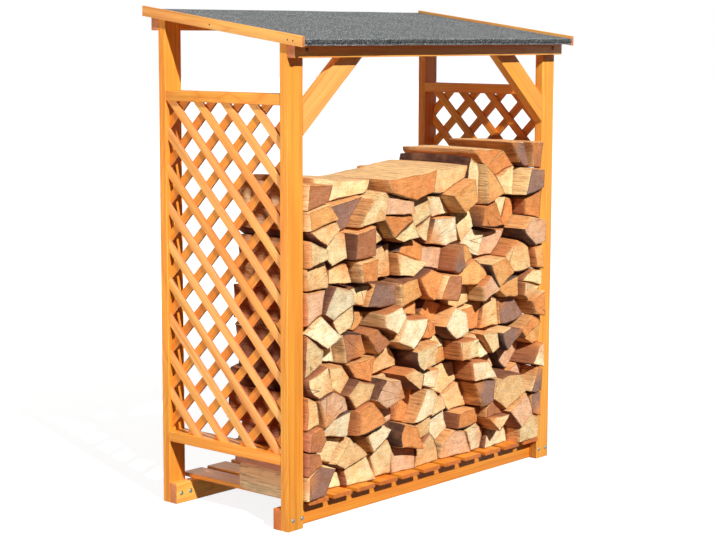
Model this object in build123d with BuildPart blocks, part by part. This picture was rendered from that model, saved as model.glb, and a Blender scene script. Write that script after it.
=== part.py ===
"""Log store: an open frame with lattice sides and a felted pent roof, stacked with split firewood.

X runs along the front from left to right, Y from the front to the back, and Z up.
The origin is on the ground, at the middle of the roof's outline. Lengths are in millimetres.
"""

from build123d import *

import math
import os
import random

# Overall sizes
frame_width = 1386.0  # over the outer faces of the posts
frame_depth = 572.0  # from the front face of the front posts to the rear face of the rear posts
front_overhang = 74.0  # roof in front of the posts
rear_overhang = 62.0  # roof behind the posts
front_height = 1535.0  # top of the bargeboards at the front edge
rear_height = 1630.0  # top of the bargeboards at the rear edge

# Planed timber of the frame
post_width = 70.0
post_thickness = 32.0
rail_height = 68.0
rail_thickness = 32.0
beam_height = 45.0
beam_thickness = 32.0
brace_width = 70.0
brace_thickness = 32.0
eased_edge = 2.5

# Braces under the front beam
brace_angle = 41.0
brace_foot_height = 1232.0
brace_lap = 30.0  # how far the upper end runs up behind the beam

# Slatted floor
slat_count = 11
slat_width = 88.0
slat_thickness = 14.0
slat_overhang = 38.0  # past the outer faces of the floor rails
slat_left_gap = 24.0  # between the first slat and the left posts
slat_right_gap = 1.0  # between the last slat and the right posts

# Side panels
panel_rail_height = 34.0
panel_rail_width = 70.0
panel_bottom = 208.0
panel_top = 1360.0
strip_width = 30.0
strip_thickness = 7.0
strip_pitch = 122.0  # along the panel rails
strip_inset = 8.0  # behind the outer face of the panel rails
outer_strip_start = 20.0  # first falling strip, from the rear post along the top rail
inner_strip_start = 75.0  # first rising strip, from the rear post along the top rail
shortest_strip = 40.0  # a strip that would run a shorter way along Y is left out of the corner
strip_angle = 45.0

# Roof
deck_thickness = 16.0
felt_thickness = 3.0
felt_fold = 14.0  # height of the felt folded down over the edges
barge_thickness = 12.0
barge_height = 33.0
barge_lip = 9.0  # bargeboards above the felt

# Firewood, one row deep between the front posts
log_length = 330.0
log_length_spread = 22.0
log_overhang = 38.0  # foremost log ends in front of the front face of the posts
log_overhang_spread = 95.0
bottom_set_back = 62.0  # least distance of the bottom logs' ends behind the foremost ones
log_pitch = 124.0  # between logs along a course
stack_height_left = 1000.0  # above the floor slats
stack_height_middle = 1012.0
stack_height_right = 1085.0
log_clearance = 0.3
shortest_face = 9.0  # faces of a log that are narrower are left off
least_bark_rise = 4.0  # a face that could swell less than this stays flat

# Counts and shares that vary the firewood
stack_seed = 27
course_count = 12
stack_middle_share = 0.62  # place of the middle height along the stack
top_course_share = 0.5  # logs in the top course, which are wider, against the others
side_jitter_share = 0.34
height_jitter_share = 0.28
reach_spread_share = 0.18
log_flatness_share = 1.4  # width of an even log against its height
top_tilt_share = 0.08
end_log_share = 0.3  # how far the logs beside the posts are set back, against the others
split_share = 0.25
split_area_share = 0.9  # of an even log's area, below which a log stays whole
smallest_log_share = 0.12  # of an even log's area, below which a splinter is left out
bark_share = 0.75
largest_cut_share = 0.18  # of a log's area, the most that one left-off corner may take
face_count_shares = {3: 0.28, 4: 0.50, 5: 0.22}

# Places worked out from the sizes above
roof_depth = front_overhang + frame_depth + rear_overhang
roof_front = -roof_depth / 2
roof_rear = roof_depth / 2
roof_slope = (rear_height - front_height) / roof_depth
frame_left = -frame_width / 2
frame_right = frame_width / 2
frame_front = roof_front + front_overhang
frame_rear = frame_front + frame_depth
bay_left = frame_left + post_width
bay_right = frame_right - post_width
panel_front = frame_front + post_thickness
panel_rear = frame_rear - post_thickness
floor_top = rail_height + slat_thickness
felt_drop = barge_lip
deck_drop = felt_drop + felt_thickness
deck_bottom_drop = deck_drop + deck_thickness
corner = (Align.MIN, Align.MIN, Align.MIN)


def roof_z(y, drop):
    """Height of the roof's slope at y, a given drop below the top of the bargeboards."""
    return front_height + roof_slope * (y - roof_front) - drop


def write(piece, name):
    """Label a finished piece and write it to its own file."""
    piece.part.label = name
    export_step(piece.part, f"parts/{name}.step")


def board(name, low, high, grain):
    """A planed board between two corners, its edges along the grain eased."""
    with BuildPart() as piece:
        with Locations(low):
            Box(high[0] - low[0], high[1] - low[1], high[2] - low[2], align=corner)
        fillet(piece.edges().filter_by(grain), radius=eased_edge)
    write(piece, name)


def side_profile(name, x_low, width, points, grain=None):
    """A piece with one outline seen from the side, given as (y, z) points, that runs along X."""
    with BuildPart() as piece:
        with BuildSketch(Plane.YZ.offset(x_low)):
            with BuildLine():
                Polyline(*points, close=True)
            make_face()
        extrude(amount=width)
        if grain:
            fillet(piece.edges().filter_by(grain), radius=eased_edge)
    write(piece, name)


def under_deck(y_low, y_high, z_low):
    """Outline from a level foot up to the sloping underside of the deck."""
    return [
        (y_low, z_low),
        (y_high, z_low),
        (y_high, roof_z(y_high, deck_bottom_drop)),
        (y_low, roof_z(y_low, deck_bottom_drop)),
    ]


def roof_band(y_low, y_high, top_drop, bottom_drop):
    """Outline of a layer that follows the roof's slope, with plumb ends."""
    return [
        (y_low, roof_z(y_low, bottom_drop)),
        (y_high, roof_z(y_high, bottom_drop)),
        (y_high, roof_z(y_high, top_drop)),
        (y_low, roof_z(y_low, top_drop)),
    ]


def posts():
    """Four posts, their tops cut to the slope of the deck that they carry."""
    places = {
        "front_left_post": (frame_left, frame_front),
        "front_right_post": (bay_right, frame_front),
        "rear_left_post": (frame_left, panel_rear),
        "rear_right_post": (bay_right, panel_rear),
    }
    for name, (x_low, y_low) in places.items():
        outline = under_deck(y_low, y_low + post_thickness, 0)
        side_profile(name, x_low, post_width, outline, Axis.Z)


def floor():
    """Two rails on edge behind and before the posts, and the slats that lie across them."""
    rail_fronts = {"front_floor_rail": panel_front, "rear_floor_rail": panel_rear - rail_thickness}
    for name, y_low in rail_fronts.items():
        low = (frame_left, y_low, 0)
        high = (frame_right, y_low + rail_thickness, rail_height)
        board(name, low, high, Axis.X)

    first = bay_left + slat_left_gap
    pitch = (bay_right - slat_right_gap - slat_width - first) / (slat_count - 1)
    for index in range(slat_count):
        x_low = first + index * pitch
        low = (x_low, panel_front - slat_overhang, rail_height)
        high = (x_low + slat_width, panel_rear + slat_overhang, floor_top)
        board(f"floor_slat_{index + 1:02d}", low, high, Axis.Y)


def side_panel(side, x_low, first_x):
    """Top and bottom rail between the posts, with two crossed layers of strips fused into one lattice."""
    rails = {"top": panel_top - panel_rail_height, "bottom": panel_bottom}
    for level, z_low in rails.items():
        low = (x_low, panel_front, z_low)
        high = (x_low + panel_rail_width, panel_rear, z_low + panel_rail_height)
        board(f"{side}_panel_{level}_rail", low, high, Axis.Y)

    opening_low = panel_bottom + panel_rail_height
    opening_high = panel_top - panel_rail_height
    panel_size = (panel_rear - panel_front, opening_high - opening_low)
    panel_middle = ((panel_front + panel_rear) / 2, (opening_low + opening_high) / 2)
    reach = panel_size[0] + panel_size[1] / math.tan(math.radians(strip_angle))
    overrun = 2 * math.hypot(*panel_size)
    count = math.ceil(reach / strip_pitch)
    layers = (
        (first_x, outer_strip_start, strip_angle),
        (first_x + strip_thickness, inner_strip_start, -strip_angle),
    )
    with BuildPart() as lattice:
        for layer_x, start, angle in layers:
            places = []
            for index in range(-count, count):
                y = panel_rear - start + index * strip_pitch
                run = y - panel_front if angle > 0 else panel_rear - y
                if min(run, reach - run) > shortest_strip:
                    places.append((y, opening_high))
            with BuildSketch(Plane.YZ.offset(layer_x)):
                with Locations(*places):
                    Rectangle(reach + overrun, strip_width, rotation=angle)
                with Locations(panel_middle):
                    Rectangle(*panel_size, mode=Mode.INTERSECT)
            extrude(amount=strip_thickness)
    write(lattice, f"{side}_lattice")


def side_panels():
    """The left panel has its falling strips outside, and the right panel its falling strips inside."""
    side_panel("left", frame_left, frame_left + strip_inset)
    side_panel("right", bay_right, frame_right - strip_inset - 2 * strip_thickness)


def roof_beams():
    """A beam on the front face of the front posts and one on the rear face of the rear posts."""
    fronts = {"front_roof_beam": frame_front - beam_thickness, "rear_roof_beam": frame_rear}
    for name, y_low in fronts.items():
        outline = under_deck(y_low, y_low + beam_thickness, beam_bottom(y_low))
        side_profile(name, frame_left, frame_width, outline)


def beam_bottom(y_low):
    """Underside of a roof beam that starts at y_low."""
    return roof_z(y_low + beam_thickness / 2, deck_bottom_drop) - beam_height


def braces():
    """Two knee braces from the front posts up behind the front beam."""
    rise = math.tan(math.radians(brace_angle))
    cut = brace_width / math.cos(math.radians(brace_angle))
    top = beam_bottom(frame_front - beam_thickness) + brace_lap
    low_run = (top - brace_foot_height) / rise
    high_run = (top - brace_foot_height - cut) / rise
    for side, x_post, way in (("left", bay_left, 1), ("right", bay_right, -1)):
        outline = [
            (x_post, brace_foot_height),
            (x_post + way * low_run, top),
            (x_post + way * high_run, top),
            (x_post, brace_foot_height + cut),
        ]
        with BuildPart() as brace:
            with BuildSketch(Plane.XZ.offset(-frame_front)):
                with BuildLine():
                    Polyline(*outline, close=True)
                make_face()
            extrude(amount=-brace_thickness)
        write(brace, f"front_{side}_brace")


def roof():
    """Deck on the beams and posts, felt folded over its front and rear edges, and bargeboards."""
    deck_front = roof_front + felt_thickness
    deck_rear = roof_rear - felt_thickness
    deck_outline = roof_band(deck_front, deck_rear, deck_drop, deck_bottom_drop)
    side_profile("roof_deck", frame_left, frame_width, deck_outline)

    fold_drop = felt_drop + felt_fold
    felt_outline = [
        (roof_front, roof_z(roof_front, fold_drop)),
        (roof_front, roof_z(roof_front, felt_drop)),
        (roof_rear, roof_z(roof_rear, felt_drop)),
        (roof_rear, roof_z(roof_rear, fold_drop)),
        (deck_rear, roof_z(deck_rear, fold_drop)),
        (deck_rear, roof_z(deck_rear, deck_drop)),
        (deck_front, roof_z(deck_front, deck_drop)),
        (deck_front, roof_z(deck_front, fold_drop)),
    ]
    side_profile("roof_felt", frame_left, frame_width, felt_outline)

    barge_outline = roof_band(roof_front, roof_rear, 0, barge_height)
    side_profile("left_bargeboard", frame_left - barge_thickness, barge_thickness, barge_outline)
    side_profile("right_bargeboard", frame_right, barge_thickness, barge_outline)


def clip(polygon, point, normal):
    """The part of a convex polygon on the side of a line that its normal points away from."""
    kept = []
    for index, current in enumerate(polygon):
        following = polygon[(index + 1) % len(polygon)]
        near = sum((c - p) * n for c, p, n in zip(current, point, normal))
        far = sum((c - p) * n for c, p, n in zip(following, point, normal))
        if near <= 0:
            kept.append(current)
        if near * far < 0:
            part = near / (near - far)
            kept.append(tuple(c + part * (f - c) for c, f in zip(current, following)))
    return kept


def outward(start, end):
    """Unit normal that points out of an edge of a polygon that runs anticlockwise."""
    across, along = end[1] - start[1], start[0] - end[0]
    size = math.hypot(across, along)
    return across / size, along / size


def inset(polygon, distance):
    """A convex polygon with every edge moved inwards."""
    result = polygon
    for index, start in enumerate(polygon):
        end = polygon[(index + 1) % len(polygon)]
        normal = outward(start, end)
        moved = tuple(s - distance * n for s, n in zip(start, normal))
        result = clip(result, moved, normal)
    return result


def without_short_faces(polygon):
    """A polygon without the corners that follow another one too closely."""
    return [
        point for index, point in enumerate(polygon) if math.dist(point, polygon[index - 1]) > shortest_face
    ]


def area_and_middle(polygon):
    """Area and centroid of a polygon that runs anticlockwise."""
    area = middle_x = middle_z = 0
    for index, (x, z) in enumerate(polygon):
        x_next, z_next = polygon[(index + 1) % len(polygon)]
        cross = x * z_next - x_next * z
        area += cross / 2
        middle_x += (x + x_next) * cross / 6
        middle_z += (z + z_next) * cross / 6
    return area, (middle_x / area, middle_z / area)


def stack_height(x):
    """Height of the stack above the floor at x."""
    middle = bay_left + stack_middle_share * (bay_right - bay_left)
    if x < middle:
        part = (x - bay_left) / (middle - bay_left)
        return stack_height_left + part * (stack_height_middle - stack_height_left)
    part = (x - middle) / (bay_right - middle)
    return stack_height_middle + part * (stack_height_right - stack_height_middle)


def log_seeds(chance):
    """Course, middle and reach of each log, in loose courses that break joint."""
    seeds = []
    for course in range(course_count):
        columns = round((bay_right - bay_left) / log_pitch)
        if course == course_count - 1:
            columns = round(columns * top_course_share)
        pitch = (bay_right - bay_left) / columns
        offset = (course % 2) / 2
        for column in range(columns + course % 2):
            place = column + 0.5 - offset + chance.uniform(-side_jitter_share, side_jitter_share)
            x = bay_left + min(max(place, 0), columns) * pitch
            lift = course + 0.5 + chance.uniform(-height_jitter_share, height_jitter_share)
            z = floor_top + lift / course_count * stack_height(x)
            reach = log_pitch * chance.uniform(-reach_spread_share, reach_spread_share)
            seeds.append((course, x, z, reach))
    return seeds


def log_cells(chance):
    """The stack's front view shared out among the logs, so that neighbours bear on each other."""
    highest = floor_top + max(stack_height_left, stack_height_middle, stack_height_right)
    bay = [(bay_left, floor_top), (bay_right, floor_top), (bay_right, highest), (bay_left, highest)]
    seeds = log_seeds(chance)
    cells = []
    for course, x, z, reach in seeds:
        tilt = chance.uniform(-top_tilt_share, top_tilt_share)
        cell = clip(bay, (x, floor_top + stack_height(x)), (-tilt, 1))
        for _, other_x, other_z, other_reach in seeds:
            way = (other_x - x, (other_z - z) * log_flatness_share)
            apart = math.hypot(*way)
            if apart > 0:
                part = (apart + reach - other_reach) / apart / 2
                bearing = (x + part * (other_x - x), z + part * (other_z - z))
                cell = clip(cell, bearing, (way[0], way[1] * log_flatness_share))
        cells.append((course, cell))
    return cells


def split_logs(cells, chance):
    """Some of the large logs are split in two through their middle, as with an axe."""
    even_area = log_pitch * stack_height_middle / course_count
    logs = []
    for course, cell in cells:
        turn = chance.uniform(0, math.pi)
        wanted = chance.random() < split_share
        if len(cell) < 3:
            continue
        area, middle = area_and_middle(cell)
        if wanted and area > split_area_share * even_area:
            normal = (math.cos(turn), math.sin(turn))
            logs.append((course, clip(cell, middle, normal)))
            logs.append((course, clip(cell, middle, (-normal[0], -normal[1]))))
        elif area > smallest_log_share * even_area:
            logs.append((course, cell))
    return logs


def trim_corners(polygon, face_count):
    """Leave off the smallest corners one by one; each face keeps the last corner cut from it."""
    points = list(polygon)
    cut_corners = [None] * len(points)
    largest_cut = largest_cut_share * area_and_middle(polygon)[0]
    while len(points) > face_count:
        sizes = [
            area_and_middle((points[index - 1], point, points[(index + 1) % len(points)]))[0]
            for index, point in enumerate(points)
        ]
        if min(sizes) > largest_cut:
            break
        smallest = sizes.index(min(sizes))
        cut_corners[smallest - 1] = points[smallest]
        del points[smallest], cut_corners[smallest]
    return points, cut_corners


def bark_crown(start, end, corner):
    """Rise and crown of the fullest round from start to end that stays inside a cut-off corner."""
    chord = Vector(*end) - Vector(*start)
    near = chord.get_angle(Vector(*corner) - Vector(*start))
    far = chord.get_angle(Vector(*end) - Vector(*corner))
    rise = chord.length / 2 * math.tan(math.radians(min(near, far)) / 2)
    normal = outward(start, end)
    return rise, tuple((s + e) / 2 + rise * n for s, e, n in zip(start, end, normal))


def log_outline(polygon, face_count, has_bark):
    """Points of a log's end, and the face that is a round of bark with its crown, or None."""
    points, cut_corners = trim_corners(polygon, face_count)
    bark = None
    best_rise = least_bark_rise
    for face, corner in enumerate(cut_corners):
        if corner and has_bark:
            rise, crown = bark_crown(points[face], points[(face + 1) % len(points)], corner)
            if rise > best_rise:
                best_rise, bark = rise, (face, crown)
    return points, bark


def firewood():
    """The stacked logs, one node for each course from the floor up."""
    chance = random.Random(stack_seed)
    courses = {course: [] for course in range(course_count)}
    for course, cell in split_logs(log_cells(chance), chance):
        polygon = inset(without_short_faces(cell), log_clearance / 2)
        face_count = chance.choices(list(face_count_shares), list(face_count_shares.values()))[0]
        points, bark = log_outline(polygon, face_count, chance.random() < bark_share)
        set_back = chance.uniform(0, log_overhang_spread)
        if course == 0:
            set_back = max(set_back, bottom_set_back)
        if max(abs(x) for x, _ in points) > bay_right - shortest_face:
            set_back *= end_log_share
        front = frame_front - log_overhang + set_back
        length = log_length + chance.uniform(-log_length_spread, log_length_spread)
        courses[course].append((points, bark, front, length))

    for course, logs in courses.items():
        with BuildPart() as stacked:
            for points, bark, front, length in logs:
                with BuildSketch(Plane.XZ.offset(-front)):
                    with BuildLine():
                        for face, start in enumerate(points):
                            end = points[(face + 1) % len(points)]
                            if bark and bark[0] == face:
                                ThreePointArc(start, bark[1], end)
                            else:
                                Line(start, end)
                    make_face()
                extrude(amount=-length)
        write(stacked, f"firewood_course_{course + 1:02d}")


os.makedirs("parts", exist_ok=True)
posts()
floor()
side_panels()
roof_beams()
braces()
roof()
firewood()
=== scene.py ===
"""Looks of a log store with lattice sides, a felted pent roof and a stack of split firewood.

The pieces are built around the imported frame. Lengths are in metres. X runs along the front from left
to right, Y from the front to the back, and Z up.
"""

import math
import random

import bmesh
import bpy
from mathutils import Matrix, Vector, noise


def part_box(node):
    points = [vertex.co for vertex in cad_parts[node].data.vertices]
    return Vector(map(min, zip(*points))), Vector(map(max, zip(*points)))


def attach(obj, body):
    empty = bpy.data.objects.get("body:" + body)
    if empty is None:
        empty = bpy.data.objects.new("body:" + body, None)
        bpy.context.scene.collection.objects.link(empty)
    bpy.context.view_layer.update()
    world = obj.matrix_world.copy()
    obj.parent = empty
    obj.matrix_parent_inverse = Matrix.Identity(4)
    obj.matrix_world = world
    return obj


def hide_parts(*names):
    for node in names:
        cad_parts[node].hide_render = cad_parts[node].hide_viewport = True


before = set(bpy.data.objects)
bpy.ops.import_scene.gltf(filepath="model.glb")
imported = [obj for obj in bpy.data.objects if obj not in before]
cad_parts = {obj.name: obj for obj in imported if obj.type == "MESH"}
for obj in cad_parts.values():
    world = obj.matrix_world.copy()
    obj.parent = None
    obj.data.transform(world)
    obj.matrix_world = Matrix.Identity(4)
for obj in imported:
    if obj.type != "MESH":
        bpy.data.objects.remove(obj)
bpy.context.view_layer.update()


def srgb(red, green, blue):
    """Linear colour of an eight-bit display colour."""
    shares = [channel / 255 for channel in (red, green, blue)]
    return tuple(c / 12.92 if c <= 0.04045 else ((c + 0.055) / 1.055) ** 2.4 for c in shares)


# Camera fitted to the photograph
PHOTO_WIDTH = 716
FOCAL_LENGTH_PIXELS = 1788.8
CAMERA_PLACE = (-4.6143, -4.0241, 1.5478)
CAMERA_YAW = math.radians(48.6)
CAMERA_PITCH = math.radians(7.58)
CAMERA_ROLL = math.radians(0.17)

# Studio
KEY_TRAVEL = (0.28, 0.76, -0.62)  # direction in which the key light shines
KEY_STRENGTH = 5.0
KEY_SPREAD = math.radians(0.9)
KEY_COLOUR = (0.99, 1.0, 0.93)
LEFT_COLOUR = (0.95, 0.93, 1.0)
FRONT_COLOUR = (0.8, 0.88, 1.0)
FILL_TARGET = (0.0, 0.0, 0.8)
FILLS = (  # name, place, width, power in watts and colour of each soft light
    ("left_fill", (-3.7, 0.1, 0.5), 1.4, 86.0, LEFT_COLOUR),
    ("front_fill", (-2.5, -4.5, 2.0), 3.0, 6.0, FRONT_COLOUR),
    ("back_fill", (1.5, 5.0, 0.9), 3.0, 95.0, KEY_COLOUR),
    ("right_fill", (5.0, 0.6, 0.9), 3.0, 70.0, KEY_COLOUR),
)
WHITE = (1.0, 1.0, 1.0, 1.0)
FLOOR_GREY = (0.3, 0.3, 0.3, 1.0)
FLOOR_REACH = 40.0
FLOOR_DROP = 0.0006
FLOOR_GLOW = 0.84

# Timber
TIMBER_SEED = 3
MERGE_DISTANCE = 1e-5
FLAT_ANGLE = math.radians(0.5)
SHARP_ANGLE = math.radians(50)
SMOOTH_ANGLE = math.radians(35)
END_EDGE = 0.0014
EDGE_PROFILE = 0.6
END_FACE_COSINE = 0.6
PITH_NEAREST = 0.015
PITH_FURTHEST = 0.085
TRUNK_LENGTH = 50.0  # each board takes its grain from somewhere along this length
FRAME_TONE = (0.35, 0.7)  # 0 is the darkest stain and 1 the palest
PALE_TONE = (0.85, 1.0)
# Boards that stand in shade, and the floor slats, take a darker stain as painted shade.
PAINTED_SHADE_TONE = (0.05, 0.25)
DEEP_TONE = (0.08, 0.14)
PALE_NODES = ("left_bargeboard", "right_bargeboard", "front_left_brace")
PAINTED_SHADE_NODES = ("rear_right_post", "right_panel_top_rail", "right_panel_bottom_rail")
DEEP_NODES = ("front_floor_rail",)

# Lattice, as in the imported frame
LATTICE_SEED = 5
STRIP_WIDTH = 0.030
STRIP_THICKNESS = 0.007
STRIP_PITCH = 0.122
STRIP_ANGLE = math.radians(45)
FALLING_START = 0.020
RISING_START = 0.075
SHORTEST_STRIP = 0.040
STRIP_EDGE = 0.0009
OUTER_STRIP_TONE = (0.75, 1.0)
# The inner layer, and both layers of the right panel, are stained darker as painted shade.
PAINTED_SHADE_STRIP_TONE = (0.0, 0.3)

# Roof
DECK_SEED = 11
DECK_BOARD_COUNT = 15
DECK_BOARD_GAP = 0.0008
DECK_BOARD_EDGE = 0.0008
FELT_ROUND = 0.0022
FELT_WAVE = 0.0014
FELT_WAVE_RATES = (5.0, 4.0)  # waves for each metre in X and Y
FELT_WAVE_LEVEL = 0.3
FELT_GRID = 0.03
FELT_DRIP = 0.006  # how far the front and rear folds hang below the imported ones
FELT_HEM = 0.004

# Bolts, nails and screws
BOLT_RADIUS = 0.0075
BOLT_RISE = 0.0042
BOLT_SPREAD = 0.0205
BOLT_SHIFTS = {"left": 0.008, "right": 0.0}  # how far the pairs sit off the middle of a post
HEAD_SIDES = 24
HEAD_ANGLES = (0.0, 0.35, 0.7, 1.05, 1.35)  # heights on a domed head, from its foot up, in radians
BEAM_BOLT_INSET = 0.054  # from the outer face of a post to the bolt in the front beam
NAIL_RADIUS = 0.0028
NAIL_RISE = 0.0008
NAIL_SHARES = (0.055, 0.086, 0.56)  # places along a bargeboard, from its front end
NAIL_DROP = 0.019  # below the top edge of a bargeboard
SCREW_INSET = 0.024  # below the beam and in from the outer face of a post

# Shape of the firewood
FIREWOOD_SEED = 17
LOG_STEP = 0.0065
LOG_CORNER = 0.0022
CORNER_PULL = 0.28  # how far an eased corner is pulled in, as a share of LOG_CORNER along both sides
ARC_TURN = math.radians(24)  # an outline that turns less than this at a point is round there
LOG_BANDS = 12
END_EASE = 0.0011
END_EASE_SHARE = 0.008
MIDDLE_SHARES = tuple((band + 0.5) / LOG_BANDS for band in range(LOG_BANDS - 1))
LOG_SHARES = (0.0, END_EASE_SHARE, *MIDDLE_SHARES, 1 - END_EASE_SHARE, 1.0)
LOG_SHRINK = 0.97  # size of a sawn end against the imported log
END_SIZES = (0.93, 1.01)  # range by which the ends differ from that
LOG_FULL = 1.03  # size of the middle, so that no light comes through the stack
LOG_TWIST = math.radians(3.0)
LOG_YAW = math.radians(2.5)
PITH_WANDER = 0.25
NOISE_REACH = 200.0
SPLIT_RELIEF = 0.0034
BARK_RELIEF = 0.0026
RELIEF_MEAN = 0.45
COARSE_SHARE = 0.55
COARSE_RATES = (28, 5)  # for each metre across the log and along it
FIBRE_SHARE = 0.45
FIBRE_RATES = (110, 9)
BARK_RIM = 0.0035
END_TILT = 0.13
END_GRIT = 0.0016
END_GRIT_RATE = 60
END_GRIT_GAP = 9.0
END_INSETS = (0.78, 0.52, 0.26)
RIM_PAINTED_SHADES = (0.55, 0.9, 1.0, 1.0, 1.0)  # painted shade, from the rim of a sawn end to its middle
BEND_REACH = 0.006  # how far the shared edges of neighbouring logs wander
BEND_RATE = 12.0
BEND_LEVELS = (1.7, 9.3)
BEND_MARGIN = 0.05
BAY_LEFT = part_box("left_lattice")[1].x
BAY_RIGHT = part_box("right_lattice")[0].x
FLOOR_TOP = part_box("floor_slat_01")[1].z

# Tones of the firewood, each with its weight
LOG_LIGHTNESS = (0.9, 1.08)
END_TONES = (
    (0.13, srgb(255, 238, 206)),
    (0.23, srgb(255, 225, 178)),
    (0.20, srgb(252, 208, 156)),
    (0.14, srgb(244, 180, 116)),
    (0.08, srgb(236, 156, 96)),
    (0.10, srgb(232, 186, 156)),
    (0.06, srgb(190, 126, 92)),
    (0.06, srgb(150, 118, 110)),
)
SIDE_TONES = (
    (0.30, srgb(238, 172, 112)),
    (0.24, srgb(248, 202, 146)),
    (0.20, srgb(210, 132, 82)),
    (0.14, srgb(170, 106, 74)),
    (0.12, srgb(122, 80, 64)),
)
BARK_TONES = (
    (0.45, srgb(84, 50, 38)),
    (0.30, srgb(134, 82, 56)),
    (0.25, srgb(100, 78, 70)),
)
# Pale sides, partly the log's own wood and partly painted sunlight on a side that lies in shade.
PALE_AND_PAINTED_SUNLIT_SIDE_TONES = ((1.0, srgb(255, 214, 156)),)
GREY_TONES = ((1.0, srgb(160, 120, 110)),)
BROWN_TONES = ((1.0, srgb(190, 122, 88)),)
FRESH_TONES = ((0.5, srgb(232, 168, 110)), (0.5, srgb(250, 208, 152)))
FRESH_COURSES = ("firewood_course_11", "firewood_course_12")
LEFT_LOGS = {  # end and side tones of the aged logs beside the front left post; the lowest has pale sides, partly its own wood and partly painted sunlight
    "firewood_course_01": (GREY_TONES, PALE_AND_PAINTED_SUNLIT_SIDE_TONES),
    "firewood_course_02": (BROWN_TONES, BROWN_TONES),
    "firewood_course_03": (BROWN_TONES, BROWN_TONES),
}
LOOK_END, LOOK_SIDE, LOOK_BARK = range(3)  # places of the materials on a course


class Shader:
    """One material, with short calls that add nodes to it."""

    def __init__(self, name, **values):
        self.material = bpy.data.materials.new(name)
        self.material.use_nodes = True
        self.tree = self.material.node_tree
        self.surface = self.tree.nodes["Principled BSDF"]
        for socket, value in values.items():
            self.set(socket.replace("_", " "), value)

    def feed(self, socket, value):
        if isinstance(value, bpy.types.NodeSocket):
            self.tree.links.new(value, socket)
        else:
            socket.default_value = value

    def set(self, socket, value):
        self.feed(self.surface.inputs[socket], value)

    def add(self, kind, inputs, output=0, **settings):
        node = self.tree.nodes.new(f"ShaderNode{kind}")
        for key, value in settings.items():
            setattr(node, key, value)
        for key, value in inputs.items():
            self.feed(node.inputs[key], value)
        return node.outputs[output]

    def math(self, operation, *values):
        return self.add("Math", dict(enumerate(values)), operation=operation)

    def attribute(self, name, output):
        return self.add("Attribute", {}, output, attribute_name=name)

    def stretch(self, vector, factors):
        return self.add("VectorMath", {0: vector, 1: factors}, operation="MULTIPLY")

    def noise(self, vector, scale, detail=3.0, roughness=0.55):
        inputs = {"Vector": vector, "Scale": scale, "Detail": detail, "Roughness": roughness}
        return self.add("TexNoise", inputs)

    def streaks(self, grain, along, across, detail=3.0, roughness=0.55):
        """Noise that is drawn out along the grain, by its rates along and across it."""
        return self.noise(self.stretch(grain, (along, across, across)), 1.0, detail, roughness)

    def pith_distance(self, grain, wave, depth):
        """Distance from the pith, with the waves that growth rings have."""
        across = self.stretch(grain, (0.0, 1.0, 1.0))
        radius = self.add("VectorMath", {0: across}, 1, operation="LENGTH")
        return self.math("MULTIPLY_ADD", wave, depth, radius)

    def ramp(self, value, *stops):
        """A value looked up in a ramp of (place, grey or colour) stops."""
        output = self.add("ValToRGB", {0: value})
        elements = output.node.color_ramp.elements
        while len(elements) < len(stops):
            elements.new(1.0)
        for element, (place, shade) in zip(elements, stops):
            element.position = place
            element.color = (*((shade,) * 3 if isinstance(shade, float) else shade), 1.0)
        return output

    def mix(self, share, first, second, blend="MIX"):
        inputs = {0: share, 6: self.colour(first), 7: self.colour(second)}
        return self.add("Mix", inputs, 2, data_type="RGBA", blend_type=blend)

    def tint(self, colour, value, *stops):
        """A colour multiplied by a value's place in a ramp."""
        return self.mix(1.0, colour, self.ramp(value, *stops), "MULTIPLY")

    @staticmethod
    def colour(value):
        return value if isinstance(value, bpy.types.NodeSocket) else (*value, 1.0)

    def bump(self, *layers):
        """Stacked bumps, each (height, strength, depth)."""
        normal = None
        for height, strength, depth in layers:
            inputs = {"Height": height, "Strength": strength, "Distance": depth}
            if normal:
                inputs["Normal"] = normal
            normal = self.add("Bump", inputs)
        self.set("Normal", normal)


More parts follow.
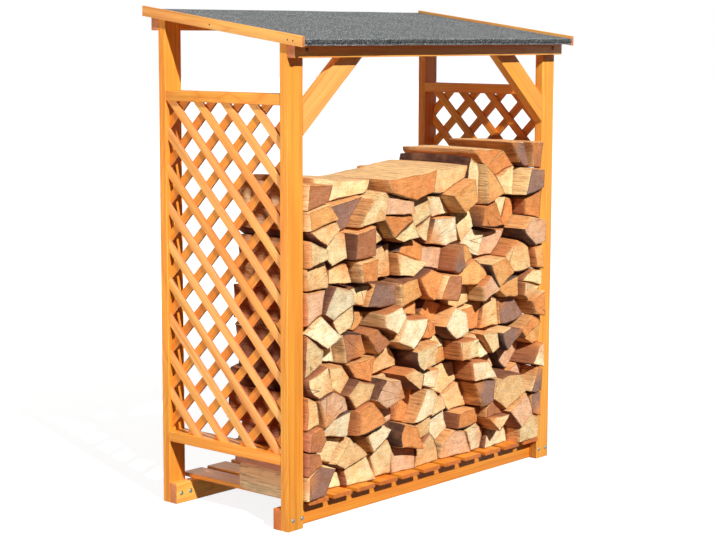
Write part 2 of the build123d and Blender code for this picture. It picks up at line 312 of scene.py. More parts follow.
def pine(name, early_wood, late_wood, ring_share):
    """Honey-orange stained pine that reads its grain and tone from the mesh."""
    shader = Shader(name, Specular_IOR_Level=0.36)
    grain = shader.attribute("grain", "Vector")
    tone = shader.attribute("tone", "Fac")

    knot_place = shader.stretch(grain, (2.4, 7.0, 7.0))
    knot_gap = shader.add("TexVoronoi", {"Vector": knot_place, "Scale": 1.0}, "Distance")
    knot = shader.ramp(knot_gap, (0.0, 1.0), (0.055, 1.0), (0.085, 0.0))
    swirl = shader.ramp(knot_gap, (0.0, 1.0), (0.3, 0.0))

    rings_per_metre = 170.0
    radius = shader.pith_distance(grain, shader.streaks(grain, 1.6, 9.0, 2.0), 0.034)
    radius = shader.math("MULTIPLY_ADD", swirl, 0.012, radius)
    ring = shader.math("FRACT", shader.math("MULTIPLY", radius, rings_per_metre))
    late = shader.ramp(ring, (0.0, 0.35), (0.25, 0.0), (0.6, 0.15), (0.9, 1.0), (1.0, 0.35))
    fibre = shader.streaks(grain, 6.0, 320.0, 4.0, 0.65)
    blotch = shader.streaks(grain, 2.2, 16.0)
    band = shader.streaks(grain, 1.3, 70.0, 3.0, 0.6)

    plain = (1.0, 1.0, 1.0)
    colour = shader.mix(shader.math("MULTIPLY", late, ring_share), early_wood, late_wood)
    colour = shader.mix(shader.ramp(blotch, (0.3, 0.0), (0.75, 0.6)), colour, srgb(232, 124, 46))
    colour = shader.tint(colour, band, (0.32, (0.84, 0.76, 0.68)), (0.5, plain), (0.68, (1.05, 1.12, 1.3)))
    colour = shader.tint(colour, fibre, (0.25, 0.80), (0.55, 1.0), (0.85, 1.06))
    colour = shader.tint(colour, tone, (0.0, (0.82, 0.64, 0.5)), (0.5, plain), (1.0, (1.05, 1.22, 2.5)))
    colour = shader.mix(shader.math("MULTIPLY", knot, 0.75), colour, srgb(150, 74, 28))
    shader.set("Base Color", colour)
    shader.set("Roughness", shader.ramp(fibre, (0.2, 0.62), (0.8, 0.42)))
    shader.bump((late, 0.25, 0.0006), (fibre, 0.35, 0.0008))
    return shader.material


def raw_wood(shader, grain, luck):
    """Colour of raw wood in a log's own tone, its late wood, and the distance from its pith."""
    radius = shader.pith_distance(grain, shader.noise(grain, 22.0, 2.0), 0.016)
    rings_per_metre = shader.math("MULTIPLY_ADD", luck, 110.0, 190.0)
    ring = shader.math("FRACT", shader.math("MULTIPLY", radius, rings_per_metre))
    late = shader.ramp(ring, (0.0, 0.5), (0.2, 0.0), (0.6, 0.2), (0.92, 1.0), (1.0, 0.5))
    blotch = shader.noise(grain, 30.0, 4.0, 0.6)
    heart = shader.math("MULTIPLY", shader.ramp(radius, (0.03, 1.0), (0.075, 0.0)), luck)
    colour = shader.tint(shader.attribute("tone", "Color"), blotch, (0.25, 0.80), (0.55, 1.0), (0.8, 1.08))
    colour = shader.mix(shader.math("MULTIPLY", heart, 0.75), colour, srgb(226, 146, 84))
    return colour, late, radius


def split_side():
    """The split side of a log, with fibres and long dark shakes."""
    shader = Shader("firewood_split", Roughness=0.8, IOR=1.4)
    grain = shader.attribute("grain", "Vector")
    colour, late, _ = raw_wood(shader, grain, shader.attribute("luck", "Fac"))
    fibre = shader.streaks(grain, 7.0, 170.0, 5.0, 0.65)
    strand = shader.streaks(grain, 14.0, 620.0)
    shake = shader.math("ABSOLUTE", shader.math("SUBTRACT", shader.streaks(grain, 2.5, 75.0, 2.0), 0.47))
    shake = shader.ramp(shake, (0.0, 0.7), (0.006, 0.35), (0.014, 0.0))
    colour = shader.tint(colour, fibre, (0.3, 0.52), (0.5, 0.97), (0.72, 1.16))
    colour = shader.mix(shader.math("MULTIPLY", late, 0.25), colour, srgb(150, 84, 42))
    colour = shader.mix(shake, colour, srgb(92, 48, 26))
    shader.set("Base Color", colour)
    shader.bump((fibre, 0.9, 0.004), (strand, 0.5, 0.001))
    return shader.material


def sawn_end():
    """The sawn end of a log, with rings, saw marks, stains and on some logs cracks from the pith."""
    shader = Shader("firewood_end", Roughness=0.8, IOR=1.4)
    grain = shader.attribute("grain", "Vector")
    luck = shader.attribute("luck", "Fac")
    colour, late, radius = raw_wood(shader, grain, luck)

    parts = shader.add("SeparateXYZ", {0: grain})
    angle = shader.math("ARCTAN2", parts.node.outputs[2], parts.node.outputs[1])
    rates = ((angle, 2.6), (radius, 1.5), (luck, 37.0))
    place = {axis: shader.math("MULTIPLY", *rate) for axis, rate in enumerate(rates)}
    radial = shader.noise(shader.add("CombineXYZ", place), 1.0, 1.0)
    split = shader.math("ABSOLUTE", shader.math("SUBTRACT", radial, 0.5))
    crack = shader.ramp(split, (0.0, 1.0), (0.004, 0.7), (0.01, 0.0))
    crack = shader.math("MULTIPLY", crack, shader.ramp(luck, (0.55, 0.0), (0.8, 0.8)))

    saw = shader.noise(shader.stretch(grain, (1.0, 36.0, 330.0)), 1.0)
    speckle = shader.noise(grain, 260.0, 3.0, 0.65)
    stain = shader.noise(shader.stretch(grain, (1.0, 34.0, 52.0)), 1.0, 4.0, 0.65)
    flush = shader.noise(grain, 24.0, 3.0, 0.6)
    plain = (1.0, 1.0, 1.0)
    colour = shader.mix(shader.math("MULTIPLY", late, 0.26), colour, srgb(176, 112, 60))
    colour = shader.tint(colour, stain, (0.35, plain), (0.6, (0.97, 0.9, 0.8)), (0.72, (0.88, 0.74, 0.62)))
    colour = shader.tint(colour, speckle, (0.3, 0.64), (0.52, 1.03), (0.7, 1.2))
    colour = shader.tint(colour, saw, (0.3, 0.82), (0.62, 1.1))
    colour = shader.tint(colour, flush, (0.32, (1.06, 1.06, 1.04)), (0.5, plain), (0.68, (0.94, 0.8, 0.66)))
    colour = shader.mix(crack, colour, srgb(74, 40, 24))
    shader.set("Base Color", colour)
    shader.bump((late, 0.2, 0.0006), (saw, 0.5, 0.0015), (speckle, 0.5, 0.0012))
    return shader.material


def bark():
    """Bark with long fissures, coloured by each log's own tone."""
    shader = Shader("firewood_bark", Roughness=0.9, IOR=1.4)
    grain = shader.attribute("grain", "Vector")
    plate = shader.streaks(grain, 22.0, 95.0, 5.0, 0.62)
    patch = shader.noise(grain, 14.0)
    speck = shader.noise(grain, 300.0)
    colour = shader.tint(shader.attribute("tone", "Color"), plate, (0.3, 0.35), (0.5, 0.95), (0.75, 1.35))
    colour = shader.mix(shader.ramp(patch, (0.52, 0.0), (0.7, 0.6)), colour, srgb(150, 104, 78))
    colour = shader.tint(colour, speck, (0.3, 0.8), (0.7, 1.12))
    shader.set("Base Color", colour)
    shader.bump((plate, 0.8, 0.004), (speck, 0.4, 0.001))
    return shader.material


def felt():
    """Bitumen felt with crushed slate on it, darker on its folds."""
    shader = Shader("mineral_felt", Roughness=0.95, IOR=1.4)
    place = shader.add("TexCoord", {}, "Object")
    grit = shader.add("TexVoronoi", {"Vector": place, "Scale": 380.0}, "Color")
    grit = shader.add("SeparateColor", {0: grit})
    drift = shader.noise(place, 9.0)
    fine = shader.noise(place, 900.0, 2.0)
    clump = shader.noise(place, 150.0, 4.0, 0.7)
    slates = (0.0, srgb(46, 48, 53)), (0.5, srgb(98, 101, 106)), (0.8, srgb(136, 139, 142))
    colour = shader.ramp(grit, *slates, (1.0, srgb(210, 210, 208)))
    colour = shader.tint(colour, drift, (0.3, 0.86), (0.7, 1.08))
    colour = shader.tint(colour, clump, (0.3, 0.68), (0.5, 1.0), (0.7, 1.3))
    colour = shader.tint(colour, fine, (0.3, 0.84), (0.7, 1.1))
    colour = shader.tint(colour, shader.attribute("fold", "Fac"), (0.0, 1.0), (1.0, 0.45))
    shader.set("Base Color", colour)
    shader.bump((grit, 0.6, 0.0012), (fine, 0.4, 0.0006))
    return shader.material


def steel(name, dark, light):
    """Metal of the bolts and nails, with a mottled bloom between two colours."""
    shader = Shader(name, Metallic=1.0)
    place = shader.add("TexCoord", {}, "Object")
    bloom = shader.noise(place, 260.0)
    shader.set("Base Color", shader.ramp(bloom, (0.3, dark), (0.7, light)))
    shader.set("Roughness", shader.ramp(bloom, (0.3, 0.6), (0.7, 0.4)))
    shader.bump((bloom, 0.2, 0.0003))
    return shader.material


def pale_floor():
    """Plain studio floor, lit from within so that its shadows stay faint."""
    shader = Shader("pale_floor", Roughness=0.9, Base_Color=FLOOR_GREY)
    shader.set("Emission Color", WHITE)
    shader.set("Emission Strength", FLOOR_GLOW)
    return shader.material


def finish_piece(name, mesh, materials, slot, *replaced):
    """Link a mesh as a piece of the store that rides on its one body."""
    for material in materials:
        mesh.materials.append(material)
    mesh.set_sharp_from_angle(angle=SMOOTH_ANGLE)
    piece = bpy.data.objects.new(name, mesh)
    bpy.context.scene.collection.objects.link(piece)
    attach(piece, "root")
    if replaced:
        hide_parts(*replaced)


def mesh_of(shape, name):
    """A mesh with the given name, made from a shape that is then let go."""
    mesh = bpy.data.meshes.new(name)
    shape.to_mesh(mesh)
    shape.free()
    return mesh


def set_attribute(mesh, name, kind, domain, values):
    """A named attribute on the points or corners of a mesh."""
    attribute = mesh.attributes.new(name, kind, domain)
    field = {"FLOAT_VECTOR": "vector", "FLOAT": "value", "FLOAT_COLOR": "color"}[kind]
    attribute.data.foreach_set(field, values)


def sharp_edges(shape):
    """The edges at which the faces of a shape meet at a clear angle."""
    return [edge for edge in shape.edges if edge.calc_face_angle(0) > SHARP_ANGLE]


class Timbers:
    """Boards gathered into one mesh, each with its own grain and tone."""

    def __init__(self):
        self.whole = bmesh.new()
        self.grain = self.whole.verts.layers.float_vector.new("grain")
        self.tone = self.whole.verts.layers.float.new("tone")

    def add(self, board, along, chance, edge=END_EDGE, tones=FRAME_TONE, facing=None):
        """Soften the edges of a board and give it grain along a direction and a tone from a range.

        Its ends look sawn. Where a facing is given, all its sides but the two that face that way take the
        same darker look as painted shade.
        """
        ease = {"offset": edge, "segments": 2, "profile": EDGE_PROFILE}
        bmesh.ops.bevel(board, geom=sharp_edges(board), affect="EDGES", clamp_overlap=True, **ease)
        along = Vector(along).normalized()
        side = along.orthogonal().normalized()
        other = along.cross(side)
        middle = sum((v.co for v in board.verts), Vector()) / len(board.verts)
        turn = chance.uniform(0, math.tau)
        pith = chance.uniform(PITH_NEAREST, PITH_FURTHEST)
        start = chance.uniform(0, TRUNK_LENGTH)
        shift = Vector((start, pith * math.cos(turn), pith * math.sin(turn)))
        tone = chance.uniform(*tones)
        board.normal_update()
        copies = []
        for vertex in board.verts:
            place = vertex.co - middle
            new = self.whole.verts.new(vertex.co)
            new[self.grain] = Vector((place.dot(along), place.dot(side), place.dot(other))) + shift
            new[self.tone] = tone
            copies.append(new)
        board.verts.index_update()
        for face in board.faces:
            new = self.whole.faces.new([copies[v.index] for v in face.verts])
            if facing is None:
                is_sawn_or_painted_shade = abs(face.normal.dot(along)) > END_FACE_COSINE
            # The narrow sides get the darker end look as painted shade.
            else:
                is_sawn_or_painted_shade = abs(face.normal.dot(facing)) < END_FACE_COSINE
            new.material_index = int(is_sawn_or_painted_shade)
            new.smooth = True
        board.free()

    def piece(self, name, *replaced):
        mesh = mesh_of(self.whole, name)
        finish_piece(name, mesh, (pine_side, pine_end_and_painted_shade), "stained_pine", *replaced)


def board_of(node):
    """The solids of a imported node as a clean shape."""
    board = bmesh.new()
    board.from_mesh(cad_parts[node].data)
    bmesh.ops.remove_doubles(board, verts=board.verts, dist=MERGE_DISTANCE)
    bmesh.ops.dissolve_limit(board, angle_limit=FLAT_ANGLE, verts=board.verts, edges=board.edges)
    return board


def prism(outline, x, thickness):
    """A board with a convex outline in Y and Z, thickened along X from a given place."""
    board = bmesh.new()
    front = [board.verts.new((x, point.x, point.y)) for point in outline]
    back = [board.verts.new((x + thickness, point.x, point.y)) for point in outline]
    board.faces.new(front)
    board.faces.new(list(reversed(back)))
    for index in range(len(outline)):
        following = (index + 1) % len(outline)
        board.faces.new((front[following], front[index], back[index], back[following]))
    bmesh.ops.recalc_face_normals(board, faces=board.faces)
    return board


def deck_profile():
    """Corners of the deck in Y and Z: front bottom, rear bottom, rear top and front top."""
    low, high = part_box("roof_deck")
    ends = {False: [], True: []}
    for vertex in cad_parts["roof_deck"].data.vertices:
        is_rear = vertex.co.y > (low.y + high.y) / 2
        ends[is_rear].append(vertex.co.yz)
    front = sorted(ends[False], key=lambda corner: corner.y)
    rear = sorted(ends[True], key=lambda corner: corner.y)
    return front[0], rear[0], rear[-1], front[-1]


def roof_slope():
    """Rise of the roof for each metre from its front to its back."""
    low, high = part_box("roof_deck")
    _, _, rear_top, front_top = deck_profile()
    return (rear_top.y - front_top.y) / (high.y - low.y)


def grain_of(node, slope):
    """Direction along the length of a plain board of the frame, or None for other nodes."""
    low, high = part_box(node)
    if node.endswith("post"):
        return 0, 0, 1
    if node.endswith("brace"):
        way = 1 if "left" in node else -1
        return way * (high.x - low.x), 0, high.z - low.z
    if node.endswith("bargeboard"):
        return 0, 1, slope
    if node.endswith(("floor_rail", "beam")):
        return 1, 0, 0
    if "slat" in node or "panel" in node:
        return 0, 1, 0
    return None


def tones_of(node):
    """Range of stain for a board of the frame, darker as painted shade for boards that stand in shade."""
    if node in PALE_NODES:
        return PALE_TONE
    if node in PAINTED_SHADE_NODES or "slat" in node:
        return PAINTED_SHADE_TONE
    if node in DEEP_NODES:
        return DEEP_TONE
    return FRAME_TONE


def dress_timber():
    """Every plain board of the frame, with its grain along its length."""
    chance = random.Random(TIMBER_SEED)
    slope = roof_slope()
    for node in sorted(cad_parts):
        along = grain_of(node, slope)
        if along:
            timbers = Timbers()
            timbers.add(board_of(node), along, chance, tones=tones_of(node))
            timbers.piece(f"{node}_timber", node)


def clip(polygon, point, normal):
    """The part of a convex polygon on the side of a line that its normal points away from."""
    kept = []
    for index, current in enumerate(polygon):
        following = polygon[(index + 1) % len(polygon)]
        near = (current - point).dot(normal)
        far = (following - point).dot(normal)
        if near <= 0:
            kept.append(current)
        if near * far < 0:
            kept.append(current.lerp(following, near / (near - far)))
    return kept


def lattice(side, chance):
    """Two crossed layers of separate strips in one side panel."""
    low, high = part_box(f"{side}_lattice")
    reach = high.y - low.y + high.z - low.z
    count = math.ceil(reach / STRIP_PITCH)
    limits = ((low, (-1, 0)), (low, (0, -1)), (high, (1, 0)), (high, (0, 1)))
    facing = Vector((1, 0, 0))
    timbers = Timbers()
    for layer, (start, angle) in enumerate(((FALLING_START, STRIP_ANGLE), (RISING_START, -STRIP_ANGLE))):
        along = Vector((math.cos(angle), math.sin(angle)))
        across = along.orthogonal() * STRIP_WIDTH / 2
        # The darker tone is painted shade on the inner layer and the whole right panel.
        tones = OUTER_STRIP_TONE if side == "left" and layer == 0 else PAINTED_SHADE_STRIP_TONE
        x = low.x + layer * STRIP_THICKNESS
        for index in range(-count, count):
            y = high.y - start + index * STRIP_PITCH
            run = y - low.y if angle > 0 else high.y - y
            if min(run, reach - run) <= SHORTEST_STRIP:
                continue
            upper, lower = [Vector((y, high.z)) + along * reach * way for way in (1, -1)]
            outline = [upper - across, upper + across, lower + across, lower - across]
            for point, normal in limits:
                outline = clip(outline, point.yz, Vector(normal))
            board = prism(outline, x, STRIP_THICKNESS)
            timbers.add(board, (0, along.x, along.y), chance, STRIP_EDGE, tones, facing)
    timbers.piece(f"{side}_trellis", f"{side}_lattice")


def deck():
    """Boards side by side, each from the front of the roof to its rear."""
    chance = random.Random(DECK_SEED)
    low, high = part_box("roof_deck")
    outline = deck_profile()
    run = outline[1] - outline[0]
    pitch = (high.x - low.x) / DECK_BOARD_COUNT
    timbers = Timbers()
    for index in range(DECK_BOARD_COUNT):
        x = low.x + index * pitch + DECK_BOARD_GAP / 2
        board = prism(outline, x, pitch - DECK_BOARD_GAP)
        timbers.add(board, (0, run.x, run.y), chance, DECK_BOARD_EDGE)
    timbers.piece("deck_boards", "roof_deck")


def roofing():
    """The felt, with rounded folds and the faint waves of a sheet that has lain in the sun."""
    sheet = board_of("roof_felt")
    low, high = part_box("roof_felt")
    folds = [e for e in sharp_edges(sheet)
             if abs(e.verts[0].co.x - e.verts[1].co.x) > FELT_GRID
             and min(abs(e.verts[0].co.y - y) for y in (low.y, high.y)) < FELT_ROUND]
    bmesh.ops.bevel(sheet, geom=folds, offset=FELT_ROUND, segments=3, affect="EDGES", clamp_overlap=True)
    for axis in (0, 1):
        normal = Vector((axis == 0, axis == 1, 0))
        for step in range(1, int((high[axis] - low[axis]) / FELT_GRID)):
            geometry = sheet.verts[:] + sheet.edges[:] + sheet.faces[:]
            point = low + normal * step * FELT_GRID
            bmesh.ops.bisect_plane(sheet, geom=geometry, plane_co=point, plane_no=normal)
    for edge in (low.y, high.y):
        hem = [v for v in sheet.verts if abs(v.co.y - edge) < FELT_HEM]
        bottom = min(v.co.z for v in hem)
        for vertex in hem:
            if vertex.co.z - bottom < FELT_ROUND / 2:
                vertex.co.z -= FELT_DRIP
    fold = sheet.verts.layers.float.new("fold")
    x_rate, y_rate = FELT_WAVE_RATES
    for vertex in sheet.verts:
        edge_gap = min(vertex.co.y - low.y, high.y - vertex.co.y)
        vertex[fold] = float(edge_gap < FELT_ROUND / 2)
        place = Vector((vertex.co.x * x_rate, vertex.co.y * y_rate, FELT_WAVE_LEVEL))
        vertex.co.z += FELT_WAVE * max(0.0, noise.noise(place))
    for face in sheet.faces:
        face.smooth = True
    finish_piece("mineral_felt", mesh_of(sheet, "mineral_felt"), (felt(),), "roof_felt", "roof_felt")


def add_head(heads, place, facing, radius, rise, is_dull=False):
    """A domed head, with its foot a little way into the timber."""
    turn = Vector(facing).to_track_quat("Z", "Y").to_matrix()
    levels = [(radius, -rise / 4)]
    levels += [(math.cos(angle) * radius, math.sin(angle) * rise) for angle in HEAD_ANGLES]
    rows = []
    for reach, height in levels:
        row = []
        for side in range(HEAD_SIDES):
            angle = math.tau * side / HEAD_SIDES
            local = Vector((reach * math.cos(angle), reach * math.sin(angle), height))
            row.append(heads.verts.new(Vector(place) + turn @ local))
        rows.append(row)
    faces = []
    for lower, upper in zip(rows, rows[1:]):
        for side in range(HEAD_SIDES):
            following = (side + 1) % HEAD_SIDES
            corners = (lower[side], lower[following], upper[following], upper[side])
            faces.append(heads.faces.new(corners))
    faces.append(heads.faces.new(rows[-1]))
    faces.append(heads.faces.new(list(reversed(rows[0]))))
    for face in faces:
        face.material_index = int(is_dull)
        face.smooth = True


def fasteners():
    """Bolt heads at the feet and on the front beam, and the nails and screws of the roof."""
    heads = bmesh.new()
    foot_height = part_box("front_floor_rail")[1].z / 2
    rear_rail_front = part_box("rear_floor_rail")[0].y
    beam_low, beam_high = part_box("front_roof_beam")
    beam_height = (beam_low.z + beam_high.z) / 2
    slope = roof_slope()
    bolt = (BOLT_RADIUS, BOLT_RISE)
    nail = (NAIL_RADIUS, NAIL_RISE)
    forward = (0, -1, 0)
    for side, way in (("left", 1), ("right", -1)):
        low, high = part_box(f"front_{side}_post")
        middle = (low.x + high.x) / 2 + BOLT_SHIFTS[side]
        for spread in (-BOLT_SPREAD, BOLT_SPREAD):
            add_head(heads, (middle + spread, low.y, foot_height), forward, *bolt)
            add_head(heads, (middle + spread, rear_rail_front, foot_height), forward, *bolt)
        outer = low.x if way > 0 else high.x
        beam_place = (outer + way * BEAM_BOLT_INSET, beam_low.y, beam_height)
        add_head(heads, beam_place, forward, *bolt, is_dull=True)
        screw_place = (outer + way * SCREW_INSET, low.y, beam_low.z - SCREW_INSET)
        add_head(heads, screw_place, forward, *nail, is_dull=True)

        low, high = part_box(f"{side}_bargeboard")
        x = low.x if way > 0 else high.x
        for share in NAIL_SHARES:
            y = low.y + (high.y - low.y) * share
            z = high.z - slope * (high.y - y) - NAIL_DROP
            add_head(heads, (x, y, z), (-way, 0, 0), *nail, is_dull=True)
    bright = steel("galvanised_steel", srgb(112, 114, 108), srgb(160, 160, 150))
    dull = steel("dull_steel", srgb(70, 44, 30), srgb(96, 64, 44))
    finish_piece("bolt_heads", mesh_of(heads, "bolt_heads"), (bright, dull), None)


class Course:
    """The logs of one course gathered into one mesh."""

    def __init__(self):
        self.points = []
        self.faces = []
        self.looks = []
        self.grain = []
        self.luck = []
        self.tones = []

    def face(self, corners, look, tones):
        """A face of point numbers, with one tone for each of them."""
        self.faces.append(corners)
        self.looks.append(look)
        for tone in tones:
            self.tones.extend((*tone, 1.0))

    def piece(self, name, node):
        mesh = bpy.data.meshes.new(name)
        mesh.from_pydata(self.points, [], self.faces)
        mesh.polygons.foreach_set("material_index", self.looks)
        mesh.polygons.foreach_set("use_smooth", [True] * len(self.faces))
        set_attribute(mesh, "grain", "FLOAT_VECTOR", "POINT", [c for g in self.grain for c in g])
        set_attribute(mesh, "luck", "FLOAT", "POINT", self.luck)
        set_attribute(mesh, "tone", "FLOAT_COLOR", "CORNER", self.tones)
        finish_piece(name, mesh, (log_end, log_side, log_bark), "firewood", node)


def linked_points(start):
    """All the points of a shape that edges join to one of them."""
    found = {start}
    edge = [start]
    while edge:
        vertex = edge.pop()
        for link in vertex.link_edges:
            other = link.other_vert(vertex)
            if other not in found:
                found.add(other)
                edge.append(other)
    return found


def solids_of(node):
    """Outline, front and back of each log in a course, from left to right.

    The outlines run anticlockwise as seen from the front.
    """
    course = board_of(node)
    left = set(course.verts)
    logs = []
    while left:
        found = linked_points(left.pop())
        left -= found
        front = min(v.co.y for v in found)
        back = max(v.co.y for v in found)
        ring = [v.co.xz for v in found if v.co.y - front < MERGE_DISTANCE * 10]
        middle = sum(ring, Vector((0, 0))) / len(ring)
        ring.sort(key=lambda p: math.atan2(p.y - middle.y, p.x - middle.x))
        logs.append((ring, front, back))
    course.free()
    logs.sort(key=lambda log: (round(log[0][0].x, 4), round(log[1], 4)))
    return logs


def turn_at(ring, index):
    """Angle by which a convex outline turns at a point."""
    before = ring[index] - ring[index - 1]
    after = ring[(index + 1) % len(ring)] - ring[index]
    return abs(before.angle_signed(after))


def fine_outline(ring):
    """Points close together along an outline with eased corners.

    Each comes with the number of its face and whether it is bark.
    """
    turns = [turn_at(ring, index) for index in range(len(ring))]
    points = []
    for index, start in enumerate(ring):
        end = ring[(index + 1) % len(ring)]
        length = (end - start).length
        on_arc = turns[index] < ARC_TURN, turns[(index + 1) % len(ring)] < ARC_TURN
        is_bark = any(on_arc)
        way = (end - start) / length
        first = 0.0 if on_arc[0] else min(LOG_CORNER, length / 4)
        last = length if on_arc[1] else length - min(LOG_CORNER, length / 4)
        if not on_arc[0]:
            before = (ring[index - 1] - start).normalized()
            points.append((start + (before + way) * LOG_CORNER * CORNER_PULL, index, is_bark))
        steps = max(1, round((last - first) / LOG_STEP))
        for step in range(steps + (not on_arc[1])):
            points.append((start + way * (first + (last - first) * step / steps), index, is_bark))
    return points


def pick(tones, chance):
    """One of several weighted colours, a little lighter or darker."""
    colour = chance.choices([c for _, c in tones], [w for w, _ in tones])[0]
    lightness = chance.uniform(*LOG_LIGHTNESS)
    return tuple(min(1.0, c * lightness) for c in colour)


def darkened_as_painted_shade(tone, share):
    """A tone made darker as painted shade, the blue most of all."""
    return tone[0] * share, tone[1] * share ** 1.2, tone[2] * share ** 1.4


def bend(point):
    """Shift a point of the stack's front by a slow field, so that edges that logs share curve together."""
    room = min(point.x - BAY_LEFT, BAY_RIGHT - point.x, point.y - FLOOR_TOP)
    fade = min(1.0, max(0.0, room / BEND_MARGIN))
    place = Vector((point.x, point.y, 0.0)) * BEND_RATE
    shift = [noise.noise(place + Vector((0.0, 0.0, level))) for level in BEND_LEVELS]
    return point + Vector(shift) * BEND_REACH * fade


class Log:
    """One split log: its sides follow the solid's outline, with fibrous relief and slanted saw cuts."""

    def __init__(self, ring, front, back, end_tones, side_tones, chance):
        self.ends = (front, back)
        self.outline = fine_outline(ring)
        self.count = len(self.outline)
        points = [point for point, _, _ in self.outline]
        self.middle = sum(points, Vector((0, 0))) / self.count
        bark_points = [point for point, _, is_bark in self.outline if is_bark]
        if bark_points:
            crown = bark_points[len(bark_points) // 2]
            pith = max(ring, key=lambda point: (point - crown).length)
        else:
            pith = chance.choice(ring)
        self.pith = pith + (pith - self.middle) * chance.uniform(-PITH_WANDER, PITH_WANDER)
        self.seed = Vector([chance.uniform(0, NOISE_REACH) for _ in range(3)])
        self.luck = chance.random()
        self.end_tone = pick(end_tones, chance)
        self.bark_tone = pick(BARK_TONES, chance)
        self.face_tones = [pick(side_tones, chance) for _ in ring]
        self.twist = chance.uniform(-LOG_TWIST, LOG_TWIST)
        self.yaw = chance.uniform(-LOG_YAW, LOG_YAW)
        self.tilts = [Vector([chance.uniform(-END_TILT, END_TILT) for _ in range(2)]) for _ in range(2)]
        self.sizes = [LOG_SHRINK * chance.uniform(*END_SIZES) for _ in range(2)]
        slants = [[(point - self.middle).dot(tilt) for point in points] for tilt in self.tilts]
        self.furthest = (min(slants[0]), max(slants[1]))

    def put(self, course, point, y):
        """Add a point of the log to its course and give its number."""
        place = point - self.pith
        course.points.append((point.x + self.yaw * (y - self.ends[0]), y, point.y))
        course.grain.append((y + self.seed.x, place.x, place.y))
        course.luck.append(self.luck)
        return len(course.points) - 1

    def cut(self, point, end):
        """Where the saw cut at an end crosses a line along the log."""
        slant = (point - self.middle).dot(self.tilts[end])
        return self.ends[end] + slant - self.furthest[end]

    def relief(self, point, y, rates):
        """Noise on a side of the log, at rates across the log and along it."""
        across, along = rates
        return noise.noise(Vector((point.x * across, y * along, point.y * across)) + self.seed)

    def section(self, share, index):
        """A point of the outline at a share of the length, with its relief."""
        point, _, is_bark = self.outline[index]
        end_size = self.sizes[0] + (self.sizes[1] - self.sizes[0]) * share
        fullness = math.sin(math.pi * share) ** 0.5
        size = end_size + (LOG_FULL - end_size) * fullness
        place = Matrix.Rotation(self.twist * share, 2) @ (point - self.middle) * size
        inward = -place.normalized()
        y = share * (self.ends[1] - self.ends[0])
        coarse = self.relief(point, y, COARSE_RATES)
        fibres = self.relief(point, y, FIBRE_RATES)
        depth = BARK_RELIEF if is_bark else SPLIT_RELIEF
        roughness = RELIEF_MEAN + COARSE_SHARE * coarse + FIBRE_SHARE * fibres
        return bend(self.middle + place) + inward * depth * roughness

    def is_bark(self, index):
        """Whether the outline has bark from a point to the following one."""
        return self.outline[index][2] and self.outline[(index + 1) % self.count][2]

    def add_sides(self, course):
        """The sides, in bands from one saw cut to the other.

        Gives the points of each row and their numbers.
        """
        rows = []
        for share in LOG_SHARES:
            row = [self.section(share, index) for index in range(self.count)]
            if share in (0.0, 1.0):
                row = [point + (self.middle - point).normalized() * END_EASE for point in row]
            numbers = []
            for point in row:
                y_front, y_back = self.cut(point, 0), self.cut(point, 1)
                numbers.append(self.put(course, point, y_front + (y_back - y_front) * share))
            rows.append((row, numbers))
        for (_, low), (_, high) in zip(rows, rows[1:]):
            for index in range(self.count):
                following = (index + 1) % self.count
                corners = (high[index], high[following], low[following], low[index])
                if self.is_bark(index):
                    course.face(corners, LOOK_BARK, [self.bark_tone] * 4)
                else:
                    course.face(corners, LOOK_SIDE, [self.face_tones[self.outline[index][1]]] * 4)
        return rows

    def add_end(self, course, end, edge, rim):
        """A sawn end, in rings from its edge to its middle."""
        insets = [[point + (self.middle - point).normalized() * BARK_RIM for point in edge]]
        insets += [[self.middle + (point - self.middle) * inset for point in edge] for inset in END_INSETS]
        rims = [rim]
        for places in insets:
            numbers = []
            for place in places:
                spot = Vector((place.x * END_GRIT_RATE, end * END_GRIT_GAP, place.y * END_GRIT_RATE))
                grit = END_GRIT * noise.noise(spot + self.seed)
                numbers.append(self.put(course, place, self.cut(place, end) + grit))
            rims.append(numbers)
        centre = self.put(course, self.middle, self.cut(self.middle, end))
        way = 1 if end == 0 else -1
        for level, (outer, inner) in enumerate(zip(rims, rims[1:])):
            # The rings of a sawn end darken towards its rim as painted shade.
            outer_tone, inner_tone = [darkened_as_painted_shade(self.end_tone, shade) for shade in RIM_PAINTED_SHADES[level:level + 2]]
            for index in range(self.count):
                following = (index + 1) % self.count
                corners = (outer[index], outer[following], inner[following], inner[index])
                if level == 0 and self.is_bark(index):
                    course.face(corners[::way], LOOK_BARK, [self.bark_tone] * 4)
                else:
                    tones = [outer_tone, outer_tone, inner_tone, inner_tone]
                    course.face(corners[::way], LOOK_END, tones[::way])
        for index in range(self.count):
            corners = (rims[-1][index], rims[-1][(index + 1) % self.count], centre)
            course.face(corners[::way], LOOK_END, [self.end_tone] * 3)

    def add_to(self, course):
        rows = self.add_sides(course)
        self.add_end(course, 0, *rows[0])
        self.add_end(course, 1, *rows[-1])


def firewood():
    """Every course of the stack."""
    chance = random.Random(FIREWOOD_SEED)
    for node in sorted(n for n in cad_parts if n.startswith("firewood")):
        course = Course()
        for index, solid in enumerate(solids_of(node)):
            tones = (END_TONES, FRESH_TONES if node in FRESH_COURSES else SIDE_TONES)
            if index == 0:
                tones = LEFT_LOGS.get(node, tones)
            Log(*solid, *tones, chance).add_to(course)
        course.piece(node.replace("course", "logs"), node)


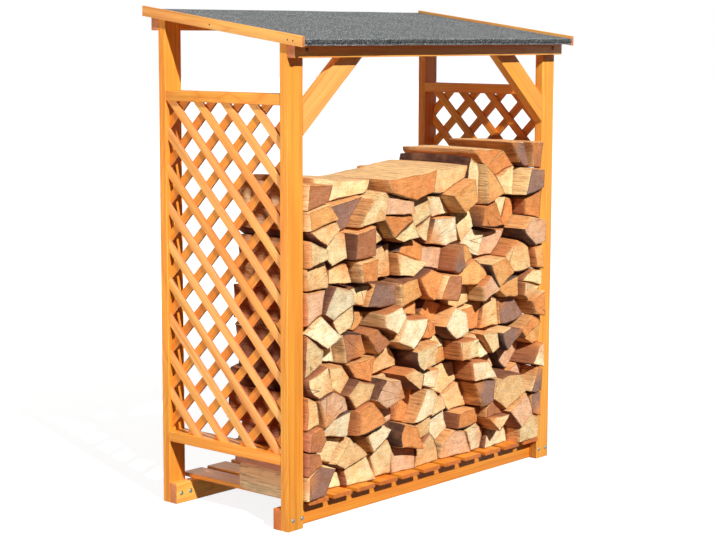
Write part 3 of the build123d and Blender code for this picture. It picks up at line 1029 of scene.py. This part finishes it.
def add_camera():
    """The camera at the photograph's place."""
    data = bpy.data.cameras.new("photo_camera")
    data.sensor_fit = "HORIZONTAL"
    data.lens = data.sensor_width * FOCAL_LENGTH_PIXELS / PHOTO_WIDTH
    camera = bpy.data.objects.new("photo_camera", data)
    turn = Matrix.Rotation(-CAMERA_YAW, 4, "Z") @ Matrix.Rotation(math.pi / 2 - CAMERA_PITCH, 4, "X")
    camera.matrix_world = Matrix.Translation(CAMERA_PLACE) @ turn @ Matrix.Rotation(CAMERA_ROLL, 4, "Z")
    bpy.context.scene.collection.objects.link(camera)
    bpy.context.scene.camera = camera


def add_light(name, kind, power, colour, travel):
    """A light that shines in a direction. Gives its object."""
    data = bpy.data.lights.new(name, kind)
    data.energy = power
    data.color = colour
    light = bpy.data.objects.new(name, data)
    light.rotation_euler = travel.to_track_quat("-Z", "Y").to_euler()
    bpy.context.scene.collection.objects.link(light)
    return light


def studio():
    """Pale floor, white surroundings, one key light and soft fill."""
    scene = bpy.context.scene
    scene.view_settings.view_transform = "Standard"

    world = bpy.data.worlds.new("studio")
    world.use_nodes = True
    world.node_tree.nodes["Background"].inputs["Color"].default_value = WHITE
    world.node_tree.nodes["Background"].inputs["Strength"].default_value = 1.0
    world.cycles_visibility.diffuse = False
    scene.world = world

    key = add_light("key", "SUN", KEY_STRENGTH, KEY_COLOUR, Vector(KEY_TRAVEL))
    key.data.angle = KEY_SPREAD
    for name, place, width, power, colour in FILLS:
        fill = add_light(name, "AREA", power, colour, Vector(FILL_TARGET) - Vector(place))
        fill.data.size = width
        fill.location = place

    mesh = bpy.data.meshes.new("studio_floor")
    ways = ((-1, -1), (1, -1), (1, 1), (-1, 1))
    corners = [(x * FLOOR_REACH, y * FLOOR_REACH, -FLOOR_DROP) for x, y in ways]
    mesh.from_pydata(corners, [], [(0, 1, 2, 3)])
    mesh.materials.append(pale_floor())
    floor = bpy.data.objects.new("studio_floor", mesh)
    scene.collection.objects.link(floor)
    floor.visible_diffuse = False
    floor.visible_glossy = False


pine_side = pine("stained_pine", srgb(247, 174, 66), srgb(226, 116, 24), ring_share=0.5)
# Darker pine of sawn ends, also used as painted shade on the narrow sides of lattice strips.
pine_end_and_painted_shade = pine("stained_pine_end_and_painted_shade", srgb(206, 126, 64), srgb(150, 78, 34), ring_share=0.55)
log_end = sawn_end()
log_side = split_side()
log_bark = bark()

add_camera()
studio()
dress_timber()
lattice_chance = random.Random(LATTICE_SEED)
lattice("left", lattice_chance)
lattice("right", lattice_chance)
deck()
roofing()
fasteners()
firewood()
